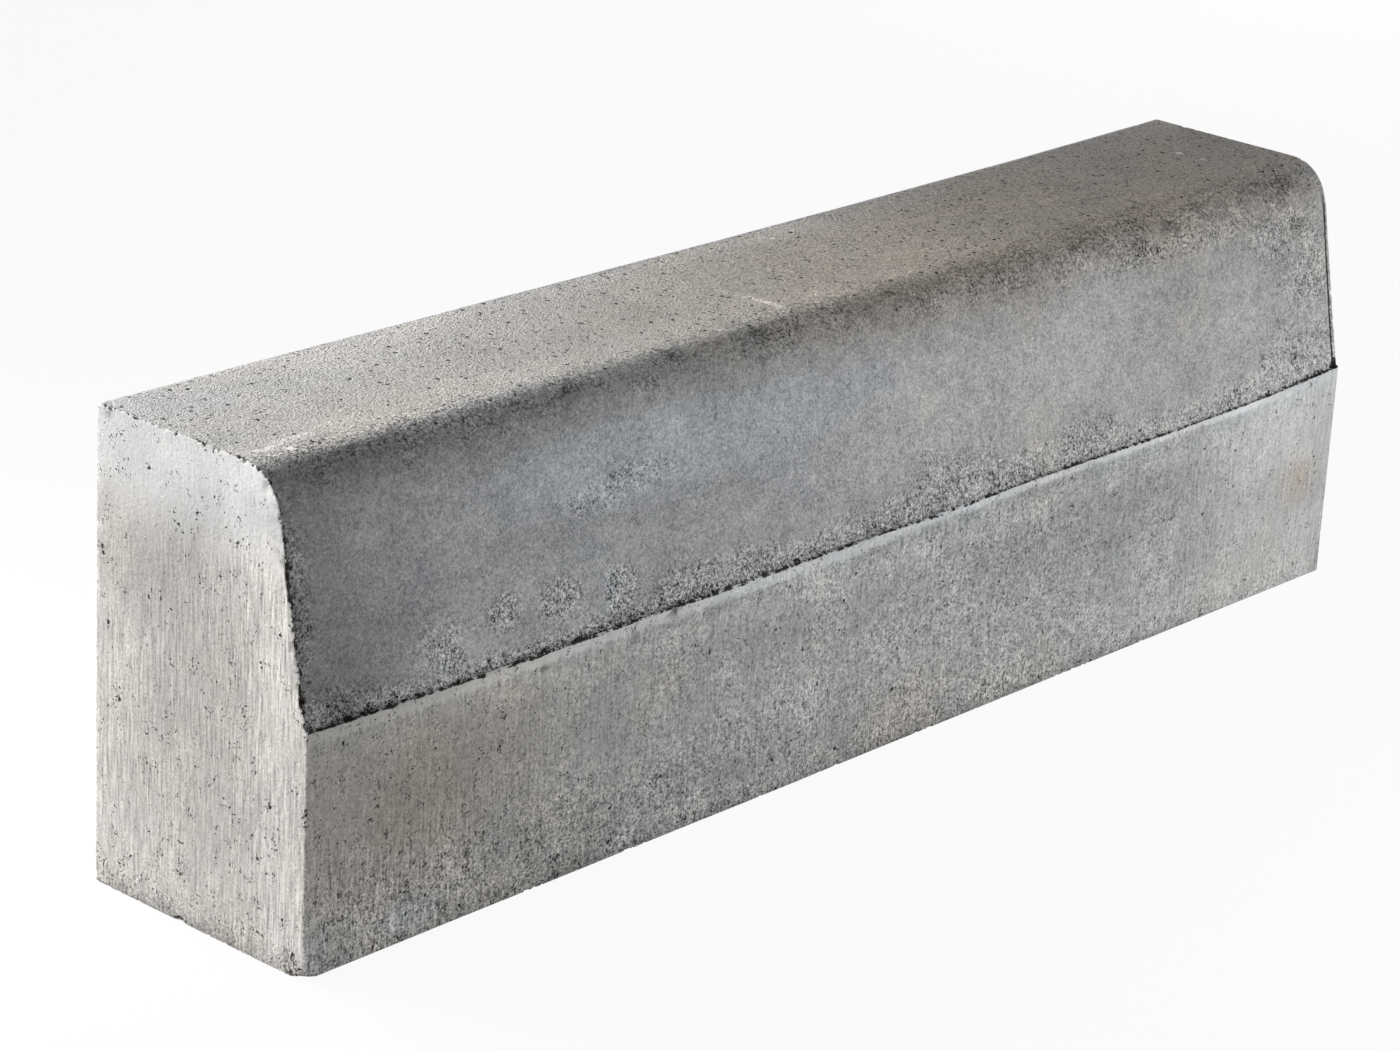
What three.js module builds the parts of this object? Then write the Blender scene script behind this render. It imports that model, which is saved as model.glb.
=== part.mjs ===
// Road kerb of pressed concrete: one block, lying as it is laid.
//
// Millimetres, +Z up. X runs along the kerb, -Y is the road side and +Y the back. The origin is the
// middle of the underside.
//
// The section is drawn once and carried along the whole length. Below the ledge the mould's upright
// walls form the stone. Above it the pressing head does: it leaves the battered front, the crown and
// the flat top, and its lower edge leaves the ledge.

import * as THREE from 'three';

// Overall size.
const LENGTH = 1000;
const HEIGHT = 300;
const BASE_WIDTH = 180;

// Front of the stone. BATTER_LEAN is how far behind the lower front the batter would meet the top if
// the crown were sharp. The ledge falls a little towards the road.
const BATTER_LEAN = 30;
const LEDGE_HEIGHT = 154;
const LEDGE_DEPTH = 2;
const LEDGE_FALL = 1;
const CROWN_RADIUS = 25;

// Small edges: the top's back edge, both edges of the underside, and the rims of the two end faces.
const BACK_EDGE_RADIUS = 4;
const BASE_EDGE_RADIUS = 2.5;
const END_EDGE_RADIUS = 1;

// Facets on each rounded corner of the section, and on each rim of an end face.
const ARC_FACETS = 12;
const RIM_FACETS = 3;

// A corner of the section: its place across (y) and up (z) the stone, and the radius that turns it.
function corner(y, z, radius = 0) {
  return { point: new THREE.Vector2(y, z), radius };
}

// Draws a closed outline through its corners, of which the first is a rounded one. Each arc is tangent
// to the two sides that it joins, and the straight sides between the arcs are drawn with them.
function outlineThrough(corners) {
  const outline = new THREE.Shape();
  corners.forEach(({ point, radius }, index) => {
    if (radius === 0) {
      outline.lineTo(point.x, point.y);
      return;
    }
    const before = corners.at(index - 1).point.clone().sub(point).normalize();
    const after = corners[(index + 1) % corners.length].point.clone().sub(point).normalize();
    const halfAngle = Math.acos(before.dot(after)) / 2;
    const tangentLength = radius / Math.tan(halfAngle);
    const arcStart = before.clone().multiplyScalar(tangentLength).add(point);
    const arcEnd = after.clone().multiplyScalar(tangentLength).add(point);
    const centre = before.clone().add(after).setLength(radius / Math.sin(halfAngle)).add(point);
    outline.absarc(
      centre.x,
      centre.y,
      radius,
      arcStart.clone().sub(centre).angle(),
      arcEnd.clone().sub(centre).angle(),
      before.cross(after) > 0,
    );
  });
  return outline;
}

// The section, from the underside's road edge, round the back and over the top to the ledge.
function kerbSection() {
  const road = -BASE_WIDTH / 2;
  const back = BASE_WIDTH / 2;
  return outlineThrough([
    corner(road, 0, BASE_EDGE_RADIUS),
    corner(back, 0, BASE_EDGE_RADIUS),
    corner(back, HEIGHT, BACK_EDGE_RADIUS),
    corner(road + BATTER_LEAN, HEIGHT, CROWN_RADIUS),
    corner(road + LEDGE_DEPTH, LEDGE_HEIGHT + LEDGE_FALL),
    corner(road, LEDGE_HEIGHT),
  ]);
}

// Carries the section along the stone. The rims of both end faces are rounded inward, so the outline
// stays at its full size between them and the length is the overall one. An arc gets two facets for
// each curve segment.
function kerbSolid() {
  return new THREE.ExtrudeGeometry(kerbSection(), {
    depth: LENGTH - 2 * END_EDGE_RADIUS,
    steps: 1,
    curveSegments: ARC_FACETS / 2,
    bevelEnabled: true,
    bevelThickness: END_EDGE_RADIUS,
    bevelSize: END_EDGE_RADIUS,
    bevelOffset: -END_EDGE_RADIUS,
    bevelSegments: RIM_FACETS,
  });
}

const concrete = new THREE.MeshStandardMaterial({ color: 0xa3a19c, roughness: 0.92, metalness: 0 });

const kerbStone = new THREE.Mesh(kerbSolid(), concrete);
kerbStone.name = 'kerb_stone';
// Section across to +Y, section up to +Z, extrusion along +X.
kerbStone.rotation.set(Math.PI / 2, 0, Math.PI / 2, 'ZYX');
kerbStone.position.x = END_EDGE_RADIUS - LENGTH / 2;

const group = new THREE.Group();
group.add(kerbStone);

export default group;
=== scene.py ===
# A road kerb of pressed concrete on a pale floor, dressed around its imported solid.
# Lengths are in metres: X runs along the kerb, -Y is the road side, +Y the back, and Z is up.

import math

import bpy
import numpy as np
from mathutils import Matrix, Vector


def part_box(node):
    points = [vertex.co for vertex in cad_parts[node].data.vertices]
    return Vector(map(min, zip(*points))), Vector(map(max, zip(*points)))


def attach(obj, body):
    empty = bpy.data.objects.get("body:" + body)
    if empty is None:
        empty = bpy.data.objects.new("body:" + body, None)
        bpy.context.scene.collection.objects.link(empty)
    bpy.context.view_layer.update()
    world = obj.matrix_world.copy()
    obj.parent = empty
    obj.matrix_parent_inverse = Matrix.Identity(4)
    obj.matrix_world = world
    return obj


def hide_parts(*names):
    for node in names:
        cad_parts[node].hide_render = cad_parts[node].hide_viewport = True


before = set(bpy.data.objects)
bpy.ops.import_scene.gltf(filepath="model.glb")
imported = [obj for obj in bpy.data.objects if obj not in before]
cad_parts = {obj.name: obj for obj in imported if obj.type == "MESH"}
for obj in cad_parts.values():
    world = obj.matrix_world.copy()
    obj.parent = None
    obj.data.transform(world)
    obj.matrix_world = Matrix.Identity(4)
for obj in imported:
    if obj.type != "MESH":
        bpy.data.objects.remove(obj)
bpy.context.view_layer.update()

# ------------------------------
# The stone's section. The block is pressed in one go from stiff, earth-damp concrete. The mould's
# walls form its ends, its back and its lower front. The pressing head forms everything above the
# ledge: the battered front, the crown and the top.
# ------------------------------

MM = 0.001
stone_low, stone_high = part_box("kerb_stone")
HALF_LENGTH = stone_high.x
ROAD = stone_low.y
BACK = stone_high.y
TOP = stone_high.z

BATTER_LEAN = 30 * MM
LEDGE_HEIGHT = 154 * MM
LEDGE_DEPTH = 2 * MM
LEDGE_FALL = 1 * MM
CROWN_RADIUS = 25 * MM
BACK_EDGE_RADIUS = 3 * MM
BASE_EDGE_RADIUS = 0.8 * MM
END_EDGE_RADIUS = 1 * MM

batter_run = BATTER_LEAN - LEDGE_DEPTH
batter_rise = TOP - LEDGE_HEIGHT - LEDGE_FALL
BATTER_FACES = 180 - math.degrees(math.atan2(batter_run, batter_rise))
crown_centre = (
    ROAD + BATTER_LEAN + CROWN_RADIUS * math.tan(math.radians(BATTER_FACES - 90) / 2),
    TOP - CROWN_RADIUS,
)

ARC_POINTS = 17


def arc(centre, radius, first, last):
    """Points of a circle from one angle to another, in degrees from +Y towards +Z."""
    angle = np.radians(np.linspace(first, last, ARC_POINTS))
    return np.stack([centre[0] + radius * np.cos(angle), centre[1] + radius * np.sin(angle)], axis=1)


base_road = (ROAD + BASE_EDGE_RADIUS, BASE_EDGE_RADIUS)
base_back = (BACK - BASE_EDGE_RADIUS, BASE_EDGE_RADIUS)
top_back = (BACK - BACK_EDGE_RADIUS, TOP - BACK_EDGE_RADIUS)
crown_middle = (BATTER_FACES + 90) / 2

# The four sides of the section. Both uprights run upward, and the top and underside run to the back.
front_path = np.vstack([
    arc(base_road, BASE_EDGE_RADIUS, 225, 180),
    [(ROAD, LEDGE_HEIGHT), (ROAD + LEDGE_DEPTH, LEDGE_HEIGHT + LEDGE_FALL)],
    arc(crown_centre, CROWN_RADIUS, BATTER_FACES, crown_middle),
])
top_path = np.vstack([
    arc(crown_centre, CROWN_RADIUS, crown_middle, 90),
    arc(top_back, BACK_EDGE_RADIUS, 90, 45),
])
back_path = np.vstack([arc(base_back, BASE_EDGE_RADIUS, -45, 0), arc(top_back, BACK_EDGE_RADIUS, 0, 45)])
under_path = np.vstack([
    arc(base_road, BASE_EDGE_RADIUS, 225, 270),
    arc(base_back, BASE_EDGE_RADIUS, 270, 315),
])

# Distances between the mesh's rows: over the plain faces, on the crown, and at the ledge, which reaches
# this far up and down.
PLAIN_SPACING = 1.3 * MM
CROWN_SPACING = 0.75 * PLAIN_SPACING
LEDGE_SPACING = 0.45 * PLAIN_SPACING
LEDGE_REACH = 9 * MM
SHORT_STEPS = 6000


def path_length(path):
    """How far along a broken line each of its points lies: the running sum of its parts' lengths."""
    return np.concatenate([[0], np.cumsum(np.hypot(*np.diff(path, axis=0).T))])


def points_at(at, length, path):
    """Points of a broken line at the given distances along it."""
    return np.stack([np.interp(at, length, path[:, axis]) for axis in (0, 1)], axis=1)


def even_rows(path, spacing):
    """Points along a broken line whose gaps follow spacing(points). The line is cut into short steps,
    1 / spacing is summed along it, and rows stand where that sum passes whole numbers."""
    length = path_length(path)
    fine = np.linspace(0, length[-1], SHORT_STEPS)
    point = points_at(fine, length, path)
    wanted = 1 / spacing(point)
    rows = np.concatenate([[0], np.cumsum((wanted[1:] + wanted[:-1]) / 2 * np.diff(fine))])
    at = np.interp(np.linspace(0, rows[-1], round(rows[-1]) + 1), rows, fine)
    return points_at(at, fine, point)


def front_spacing(point):
    """Fine at the ledge, less fine on the crown, plain elsewhere."""
    spacing = np.where(point[:, 1] > TOP - CROWN_RADIUS, CROWN_SPACING, PLAIN_SPACING)
    return np.where(np.abs(point[:, 1] - LEDGE_HEIGHT) < LEDGE_REACH, LEDGE_SPACING, spacing)


def top_spacing(point):
    """Fine on the crown, plain on the flat top."""
    return np.where(point[:, 0] < crown_centre[0], CROWN_SPACING, PLAIN_SPACING)


front_rows = even_rows(front_path, front_spacing)
top_rows = even_rows(top_path, top_spacing)
UPRIGHT = len(front_rows) - 1
LEVEL = len(top_rows) - 1


def same_count(path, steps):
    """Points along a broken line, evenly apart, in the given number of steps."""
    length = path_length(path)
    return points_at(np.linspace(0, length[-1], steps + 1), length, path)


back_rows = same_count(back_path, UPRIGHT)
under_rows = same_count(under_path, LEVEL)

# Once round the section: up the front, along the top, down the back and along the underside.
section = np.vstack([front_rows[:-1], top_rows[:-1], back_rows[:0:-1], under_rows[:0:-1]])
along = np.roll(section, -1, axis=0) - np.roll(section, 1, axis=0)
along /= np.hypot(*along.T)[:, None]
section_normal = np.stack([-along[:, 1], along[:, 0]], axis=1)

# How far each row lies above the ledge, measured along the surface. Rows below it are negative.
step_length = np.hypot(*(np.roll(section, -1, axis=0) - section).T)
climb = np.concatenate([[0], np.cumsum(step_length)[:-1]])
climb -= np.interp(LEDGE_HEIGHT, section[:UPRIGHT, 1], climb[:UPRIGHT])

# ------------------------------
# The stone's surface as it leaves the mould: the section carried along the length, its end rims
# a little rounded, and both ends closed by a flat grid. The columns stand closer near the rims.
# ------------------------------

RIM_STEPS = 3
RIM_ZONE = 14 * MM
ZONE_SPACING = 0.65 * PLAIN_SPACING
straight = HALF_LENGTH - END_EDGE_RADIUS
zone_steps = round(RIM_ZONE / ZONE_SPACING)
zone_edge = straight - RIM_ZONE
middle_steps = round(2 * zone_edge / PLAIN_SPACING)
rim_turn = np.radians(np.linspace(90, 0, RIM_STEPS + 1))
column_x = np.concatenate([
    -straight - END_EDGE_RADIUS * np.sin(rim_turn),
    np.linspace(-straight, -zone_edge, zone_steps + 1)[1:],
    np.linspace(-zone_edge, zone_edge, middle_steps + 1)[1:],
    np.linspace(zone_edge, straight, zone_steps + 1)[1:],
    straight + END_EDGE_RADIUS * np.sin(rim_turn[::-1][1:]),
])
column_turn = np.concatenate([rim_turn, np.zeros(2 * zone_steps + middle_steps - 1), rim_turn[::-1]])
column_inset = END_EDGE_RADIUS * (1 - np.cos(column_turn))
columns, rows = len(column_x), len(section)

side = np.empty((columns, rows, 3))
side[..., 0] = column_x[:, None]
side[..., 1:] = section - column_inset[:, None, None] * section_normal
side_normal = np.empty_like(side)
side_normal[..., 0] = (np.sign(column_x) * np.sin(column_turn))[:, None]
side_normal[..., 1:] = np.cos(column_turn)[:, None, None] * section_normal


def four_sides(rim):
    """What runs once round an end face, cut at the section's corners: its front and back, both upward,
    and its top and underside, both to the back."""
    front = rim[: UPRIGHT + 1]
    top = rim[UPRIGHT : UPRIGHT + LEVEL + 1]
    back = rim[UPRIGHT + LEVEL : 2 * UPRIGHT + LEVEL + 1][::-1]
    under = np.concatenate([rim[2 * UPRIGHT + LEVEL :], rim[:1]])[::-1]
    return front, back, top, under


def end_grid(rim):
    """The points inside an end face, as a Coons patch: the mean of straight lines from front to back
    and from underside to top, less the plane through the four corners."""
    front, back, top, under = four_sides(rim)
    across = np.linspace(0, 1, LEVEL + 1)[None, :, None]
    upward = np.linspace(0, 1, UPRIGHT + 1)[:, None, None]
    ruled = (1 - across) * front[:, None] + across * back[:, None]
    ruled = ruled + (1 - upward) * under[None] + upward * top[None]
    corners = (1 - upward) * ((1 - across) * under[0] + across * under[-1])
    corners = corners + upward * ((1 - across) * top[0] + across * top[-1])
    return (ruled - corners)[1:-1, 1:-1].reshape(-1, 3)


end_points = [end_grid(side[column]) for column in (0, -1)]
inner = len(end_points[0])
skin = np.vstack([side.reshape(-1, 3), *end_points])
outward = np.vstack([
    side_normal.reshape(-1, 3),
    np.tile([-1.0, 0, 0], (inner, 1)),
    np.tile([1.0, 0, 0], (inner, 1)),
])

# Each point's row of the section, and its distance from the rim of the end face. A point inside an end
# face takes the row nearest to it.
CHUNK = 4000
nearest = np.empty(inner, dtype=np.int64)
rim_away = np.empty(inner)
for first in range(0, inner, CHUNK):
    gap = end_points[0][first : first + CHUNK, None, 1:] - section[None]
    gap = np.hypot(gap[..., 0], gap[..., 1])
    nearest[first : first + CHUNK] = gap.argmin(axis=1)
    rim_away[first : first + CHUNK] = gap.min(axis=1)
row_of = np.concatenate([np.tile(np.arange(rows), columns), nearest, nearest])
rim_away = np.concatenate([HALF_LENGTH - np.repeat(np.abs(column_x), rows), rim_away, rim_away])


def grid_faces(index):
    """Four-sided faces between neighbouring entries of a table of vertex numbers."""
    corners = [index[:-1, :-1], index[1:, :-1], index[1:, 1:], index[:-1, 1:]]
    return np.stack(corners, axis=-1).reshape(-1, 4)


side_index = np.arange(columns * rows).reshape(columns, rows)
side_faces = grid_faces(np.hstack([side_index, side_index[:, :1]]))


def end_faces(column, first_inner):
    """Faces of an end: the inner grid with the section's own vertices as its border."""
    table = np.empty((UPRIGHT + 1, LEVEL + 1), dtype=np.int64)
    inside = np.arange(first_inner, first_inner + inner)
    table[1:-1, 1:-1] = inside.reshape(UPRIGHT - 1, LEVEL - 1)
    table[:, 0], table[:, -1], table[-1], table[0] = four_sides(side_index[column])
    return grid_faces(table)


faces = np.vstack([
    side_faces,
    end_faces(0, columns * rows),
    end_faces(-1, columns * rows + inner)[:, ::-1],
])

# ------------------------------
# Wear and relief in the concrete itself. Every depth runs inward from the mould's surface, so the
# stone never grows past its nominal size.
# ------------------------------


def lattice_value(cell, seed):
    """A fixed random number from 0 to 1 for each whole-numbered cell, by mixing and scrambling its
    three numbers as integers."""
    x, y, z = (cell[:, axis].astype(np.int64).astype(np.uint32) for axis in range(3))
    mixed = x * np.uint32(73856093) ^ y * np.uint32(19349663) ^ z * np.uint32(83492791)
    mixed = (mixed ^ np.uint32(seed * 7919 + 13)) * np.uint32(2654435761)
    mixed = (mixed ^ (mixed >> np.uint32(15))) * np.uint32(2246822519)
    mixed = mixed ^ (mixed >> np.uint32(13))
    return mixed.astype(np.float64) / np.iinfo(np.uint32).max


def waviness(points, size, seed):
    """Smooth relief from -1 to 1: random values on a lattice of the given size in millimetres, blended
    between the eight nearest ones by a smooth step."""
    scaled = points / (size * MM) + seed * 3.37
    cell = np.floor(scaled)
    share = scaled - cell
    share = share * share * share * (share * (share * 6 - 15) + 10)
    blend = np.zeros(len(points))
    for corner in np.ndindex(2, 2, 2):
        near = np.where(corner, share, 1 - share)
        blend += near[:, 0] * near[:, 1] * near[:, 2] * lattice_value(cell + corner, seed)
    return 2 * blend - 1


def raggedness(points, size, seed):
    """Relief from about -1 to 1 in three sizes, each half as large and 0.6 times as strong."""
    return (
        waviness(points, size, seed)
        + 0.6 * waviness(points, size / 2, seed + 1)
        + 0.36 * waviness(points, size / 4, seed + 2)
    ) / 1.4


def ramp(value, start, end):
    """0 before start, 1 after end, and a smooth rise between. start may be larger than end."""
    share = np.clip((value - start) / (end - start), 0, 1)
    return share * share * (3 - 2 * share)


side_climb = climb[row_of]
on_end = np.abs(outward[:, 0])
faces_road = ramp(-outward[:, 1], 0.2, 0.6) * (1 - ramp(on_end, 0.3, 0.9))
faces_up = ramp(outward[:, 2], 0.3, 0.7) * (1 - ramp(on_end, 0.3, 0.9))
x_mm, climb_mm = skin[:, 0] / MM, side_climb / MM
y_mm, z_mm = skin[:, 1] / MM, skin[:, 2] / MM

# Where the crown begins and ends, and where the top ends, in millimetres of climb from the ledge.
CROWN_START = 127
CROWN_END = 162
TOP_END = 288
pressed_by_head = (climb_mm > 0) & (climb_mm < TOP_END)

# The faces as flat maps, across and up in millimetres: what the head presses, the mould's long walls
# and the ends.
HEAD = (x_mm, climb_mm)
WALL = (x_mm, z_mm)
END = (y_mm, z_mm)


def blot(flat, middle_across, middle_up, reach_across, reach_up, turn=0):
    """1 at the middle of a soft oval on a flat map and 0 outside it: a smooth fall with the square of
    the distance. turn leans its long axis, in degrees."""
    lean = math.radians(turn)
    across = flat[0] - middle_across
    up = flat[1] - middle_up
    along_axis = (across * math.cos(lean) + up * math.sin(lean)) / reach_across
    beside_axis = (up * math.cos(lean) - across * math.sin(lean)) / reach_up
    return ramp(along_axis ** 2 + beside_axis ** 2, 1, 0)


def ragged_blot(middle_x, middle_climb, half_length, half_height, noise, full):
    """A soft oval on the head's map: 0 at 1.15 times its reach and 1 from the share full of it inward.
    noise is taken off the distance, which makes the border ragged."""
    reach = np.hypot((x_mm - middle_x) / half_length, (climb_mm - middle_climb) / half_height)
    return ramp(reach - noise, 1.15, full)


# Where the pressing head tore the skin open: a band above the ledge, given by its height at places
# along the stone, the crown, and single patches as (strength, x, climb, half length, half height).
# Lengths are in millimetres.
BAND_PLACES = [-500, -470, -420, -220, -200, -158, -100, -10, 30, 60, 110, 210, 250, 330, 400, 440, 500]
BAND_HEIGHTS = [34, 22, 6, 9, 20, 27, 14, 14, 30, 42, 34, 30, 20, 13, 18, 60, 95]
TORN_PATCHES = [
    (1, -388, 16, 24, 26), (1, -338, 28, 17, 14), (1, -290, 26, 19, 15), (1, -243, 20, 16, 20),
    (0.4, -254, 79, 36, 9), (0.4, -214, 86, 36, 9), (0.65, -496, 70, 12, 60),
    (0.8, 470, 90, 40, 50), (0.8, 330, 126, 120, 11), (0.8, 450, 108, 56, 24),
]
# Short stretches of the crown where grains have come out, as (x, climb, half length, half height).
OPEN_CLUSTERS = [
    (-258, 148, 12, 8), (-172, 153, 8, 8), (-92, 149, 13, 8), (-42, 281, 9, 8),
    (322, 139, 9, 8), (420, 122, 12, 8), (465, 113, 14, 8),
]
edge_noise = raggedness(skin, 22, 11)
band_height = np.interp(x_mm, BAND_PLACES, BAND_HEIGHTS) * (1 + 0.5 * edge_noise)
torn = ramp(climb_mm, band_height + 6, band_height * 0.3)
torn *= 1 - 0.3 * ramp(x_mm, 380, 440) - 0.25 * ramp(x_mm, 465, 490)
for strength, *patch in TORN_PATCHES:
    torn = np.maximum(torn, strength * ragged_blot(*patch, 0.35 * edge_noise, 0.35))
far_half = ramp(x_mm, -60, 220)
crown_low = 138 - 10 * far_half
crown_band = ramp(climb_mm + 5 * edge_noise, crown_low - 14, crown_low + 12)
crown_band *= ramp(climb_mm, 168, 154)
crown_torn = 0.4 + 0.06 * far_half + 0.5 * edge_noise - 0.08 * blot(HEAD, -90, 145, 200, 60)
torn = np.maximum(torn, crown_band * crown_torn)
torn *= pressed_by_head

# Depths of the broad unevenness of all faces, of the granular skin of the top, and of the torn skin.
BROAD_DEPTH = 0.35 * MM
TOP_GRAIN_DEPTH = 0.07 * MM
TORN_DEPTH = 0.62 * MM
depth = BROAD_DEPTH * (0.5 + 0.5 * raggedness(skin, 90, 3))
depth += TOP_GRAIN_DEPTH * faces_up * (0.5 + 0.5 * waviness(skin, 3.2, 5))
torn_relief = 0.45 + 0.75 * waviness(skin, 3.1, 6) * waviness(skin, 5.3, 7)
torn_relief += 0.3 * waviness(skin, 2.7, 8)
depth += TORN_DEPTH * torn * (1 - on_end) * np.clip(torn_relief, 0, 1.2)

# The ledge. The head's lower edge drags the concrete there, so behind the lip that the mould wall
# leaves runs a ragged groove. How thick it is and how high it runs, in millimetres, at places that
# are evenly apart from one end to the other.
SEAM_PLACES = np.linspace(-500, 500, 21)
SEAM_THICKNESS = [
    1.6, 2.2, 1.5, 1.8, 1.7, 2.0, 1.3, 2.1, 2.1, 1.3,
    1.2, 0.8, 0.7, 0.8, 1.3, 0.6, 0.6, 0.6, 1.1, 1.7, 2.8,
]
SEAM_HEIGHT = [
    0.4, 0.2, -0.2, -1.1, -0.5, -0.6, 0.2, -1.1, -0.2, -0.1,
    0.4, -1.0, 0.2, 1.5, 0.9, 0.4, 0, 0.3, 0.9, 0.6, 0.4,
]
GROOVE_DEPTH = 1.2 * MM
GROOVE_HALF_HEIGHT = 0.5 * MM
seam_thickness = np.interp(x_mm, SEAM_PLACES, SEAM_THICKNESS)
seam_height = np.interp(x_mm, SEAM_PLACES, SEAM_HEIGHT)
line = np.stack([skin[:, 0], np.zeros(len(skin)), np.zeros(len(skin))], axis=1)
groove_path = (0.9 + 0.5 * seam_height) * MM
groove_path += 0.45 * MM * raggedness(line, 16, 21) + 0.3 * MM * waviness(line, 3.5, 22)
groove_swell = (0.55 + 0.6 * waviness(line, 3.4, 24)) * seam_thickness / 2
groove_swell += 0.6 * ramp(raggedness(line, 20, 23), 0.3, 0.75) * (x_mm < 20)
groove_swell = np.clip(groove_swell, 0.1, 2.2)
groove_reach = (side_climb - groove_path) / (GROOVE_HALF_HEIGHT * np.clip(groove_swell, 0.6, 1.6))
groove_reach = np.where(groove_reach > 0, groove_reach / 1.4, groove_reach)
groove = np.exp(-groove_reach ** 2) * groove_swell
nick_noise = raggedness(skin, 5, 25) + 0.5 * waviness(line, 30, 26)
nicks = ramp(nick_noise, 0.45, 0.8) * ramp(side_climb, 6 * MM, 1.5 * MM)
nicks *= ramp(side_climb, -0.8 * MM, 0.4 * MM)
near_ledge = (np.abs(side_climb) < 12 * MM) * ramp(on_end, 0.9, 0.2)
groove = np.maximum(groove, 0.6 * nicks * seam_thickness / 2) * near_ledge

moved = skin - outward * depth[:, None]
moved[:, 1] += GROOVE_DEPTH * groove

# The crown is rounder towards the +X end, and close to the other one.
CROWN_CHANGE = 2.4 * MM
from_crown_middle = np.abs(climb_mm - 0.5 * (CROWN_START + CROWN_END))
crown_shift = CROWN_CHANGE * (ramp(x_mm, 0, 500) + 0.85 * ramp(x_mm, -380, -500))
crown_shift *= ramp(from_crown_middle, 27, 3)
crown_shift *= np.where(on_end > 0.99, ramp(rim_away, 40 * MM, 0), 1)
moved[:, 1:] -= crown_shift[:, None] * section_normal[row_of]
full_skin = skin.copy()
full_skin[:, 1:] -= crown_shift[:, None] * section_normal[row_of]

# The rims of the end faces crumble. A ragged bevel is cut along them: each point nearer to the rim
# than the bevel's width moves inward, halfway along the face's own plane and halfway across it.
BEVEL_REACH = 8 * MM
WIDEST_BEVEL = 4.5
which_end = np.sign(skin[:, 0])
rim_spot = np.column_stack([which_end * HALF_LENGTH, section[row_of]])
by_rim = rim_away < BEVEL_REACH
spot = rim_spot[by_rim]
spot_y, spot_z = spot[:, 1] / MM, spot[:, 2] / MM
at_batter = ramp(spot_z, 156, 190) * ramp(spot_z, 262, 240) * (spot_y < -30)
at_foot = ramp(spot_z, 9, 4)
at_top = ramp(spot_z, 288, 296)
near_end = np.where(spot[:, 0] < 0, 1.0, 0.2)
coarse_rim = raggedness(spot, 9, 71)
bevel = 0.1 + (0.7 + 0.9 * at_batter) * ramp(raggedness(spot, 6, 72), 0.35, 0.8)
bevel += at_batter * (1.0 + 1.5 * coarse_rim + 1.4 * waviness(spot, 2.8, 73))
bevel += at_foot * (0.7 + 0.9 * waviness(spot, 45, 74) + 1.4 * ramp(coarse_rim, 0.35, 0.8))
bevel += at_top * 0.9 * ramp(coarse_rim, 0.2, 0.7)
bevel *= near_end
bevel = np.clip(bevel, 0, WIDEST_BEVEL) * MM
cut = np.clip(bevel - rim_away[by_rim], 0, None) / 2
moved[by_rim, 1:] -= cut[:, None] * section_normal[row_of[by_rim]]
moved[by_rim, 0] -= cut * which_end[by_rim]

# Pits and chips. Each is the bowl that a ball leaves when it is pressed into the surface: the points
# inside the ball are pushed straight out from its centre until they lie on it.
BALL_LUMPS = 0.3
pit_random = np.random.default_rng(2945)
ball_lumps = waviness(skin, 2.6, 31)
by_x = np.argsort(moved[:, 0], kind="stable")
sorted_x = moved[by_x, 0]


def press_ball(site, way_out, radius, sink):
    """Presses one ball into the skin at a point. Its centre lies sink radii deeper than where the ball
    would only touch, and its own radius varies by the share BALL_LUMPS."""
    centre = site + way_out * radius * (1 - sink)
    widest = radius * (1 + BALL_LUMPS)
    first, last = np.searchsorted(sorted_x, [centre[0] - widest, centre[0] + widest])
    near = by_x[first:last]
    away = moved[near] - centre
    distance = np.linalg.norm(away, axis=1)
    wall = radius * (1 + BALL_LUMPS * ball_lumps[near])
    inside = (distance < wall) & (distance > 1e-6)
    push = away[inside] / distance[inside, None] * (wall - distance)[inside, None]
    moved[near[inside]] += push


def press_balls(chance, count, smallest, largest, sink):
    """Presses count balls at points picked with the given chances. Their radii, in millimetres, lean to
    small ones: a random share from 0 to 1 to the power 2.2 of the way from smallest to largest."""
    smallest, largest = smallest * MM, largest * MM
    sites = pit_random.choice(len(skin), size=count, p=chance / chance.sum())
    radii = smallest + (largest - smallest) * pit_random.random(count) ** 2.2
    for site, radius in zip(sites, radii):
        press_ball(moved[site], outward[site], radius, sink)


on_rim = ramp(np.abs(skin[:, 0]), HALF_LENGTH - 1.2 * MM, HALF_LENGTH - 0.2 * MM)
on_rim *= (on_end < 0.95) & (on_end > 0.1)
above_ledge = side_climb > 0
low_edge = (skin[:, 2] < 4 * MM) * (outward[:, 2] < -0.1) * (outward[:, 2] > -0.95)
clear_of_base = skin[:, 2] > 12 * MM
clusters = ramp(raggedness(skin, 30, 41), 0.0, 0.5) + 0.15
on_rim *= np.where(skin[:, 0] < 0, 1.0, 0.1)
front_rim = on_rim * above_ledge * (climb_mm < CROWN_START) * ramp(clusters, 0.2, 0.9)
top_rim = on_rim * (skin[:, 2] > TOP - 2 * MM) * (skin[:, 1] > -50 * MM)
back_rim = (skin[:, 2] > TOP - 3 * MM) * (skin[:, 1] > BACK - 3 * MM) * (on_end < 0.5)
walls = faces_road * (side_climb < -12 * MM) + (outward[:, 1] > 0.9)
in_open_clusters = sum(blot(HEAD, *cluster) for cluster in OPEN_CLUSTERS)
by_batter_foot = faces_road * (np.abs(side_climb - 2.6 * MM) < 1.2 * MM)

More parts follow.
